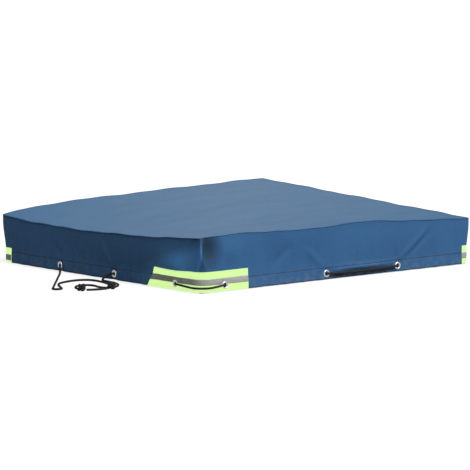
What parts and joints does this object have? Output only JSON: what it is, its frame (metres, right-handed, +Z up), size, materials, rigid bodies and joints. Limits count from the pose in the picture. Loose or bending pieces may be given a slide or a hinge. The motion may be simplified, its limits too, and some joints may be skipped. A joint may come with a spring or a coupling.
{
  "type": "sandbox",
  "caption": "Square wooden children's sandbox closed by a blue fabric cover with neon corner patches, metal eyelets and a black drawstring tied at one side.",
  "frame": {"origin": "on the ground under the middle of the box", "axes": "+Z up, -Y faces the front wall, -X is the side where the drawstring ends leave the cover"},
  "size_m": [1.5337, 1.238, 0.2128],
  "materials": {
    "pine": "satin",
    "zinc": "brushed",
    "liner": "matte",
    "cover_cloth": "matte",
    "neon_tape": "matte",
    "reflective_stripe": "satin",
    "eyelet_metal": "polished",
    "black_cord": "matte"
  },
  "bodies": {
    "box": {"front_lower_plank": "pine", "front_upper_plank": "pine", "right_lower_plank": "pine", "right_upper_plank": "pine", "back_lower_plank": "pine", "back_upper_plank": "pine", "left_lower_plank": "pine", "left_upper_plank": "pine", "front_left_post": "pine", "front_right_post": "pine", "back_right_post": "pine", "back_left_post": "pine", "front_seat": "pine", "front_bracket": "pine", "right_seat": "pine", "right_bracket": "pine", "back_seat": "pine", "back_bracket": "pine", "left_seat": "pine", "left_bracket": "pine", "wall_screws": "zinc", "seat_screws": "zinc", "ground_liner": "liner"},
    "cover": {"cover_top": "cover_cloth", "front_skirt": "cover_cloth", "front_hem": "cover_cloth", "right_skirt": "cover_cloth", "right_hem": "cover_cloth", "back_skirt": "cover_cloth", "back_hem": "cover_cloth", "left_skirt": "cover_cloth", "left_hem": "cover_cloth", "front_left_patch": "neon_tape", "front_left_stripe": "reflective_stripe", "front_right_patch": "neon_tape", "front_right_stripe": "reflective_stripe", "back_right_patch": "neon_tape", "back_right_stripe": "reflective_stripe", "back_left_patch": "neon_tape", "back_left_stripe": "reflective_stripe", "front_eyelets": "eyelet_metal", "front_washers": "eyelet_metal", "right_eyelets": "eyelet_metal", "right_washers": "eyelet_metal", "back_eyelets": "eyelet_metal", "back_washers": "eyelet_metal", "left_eyelets": "eyelet_metal", "left_washers": "eyelet_metal", "drawstring": "black_cord", "cord_end_a": "black_cord", "cord_end_b": "black_cord", "joining_knot": "black_cord", "tail_a": "black_cord", "tail_b": "black_cord", "tail_knot": "black_cord"}
  },
  "joints": [
    {"name": "cover_lift", "type": "slide", "parent": "box", "child": "cover", "axis": [0, 0, 1], "range_m": [0, 0.4]}
  ]
}
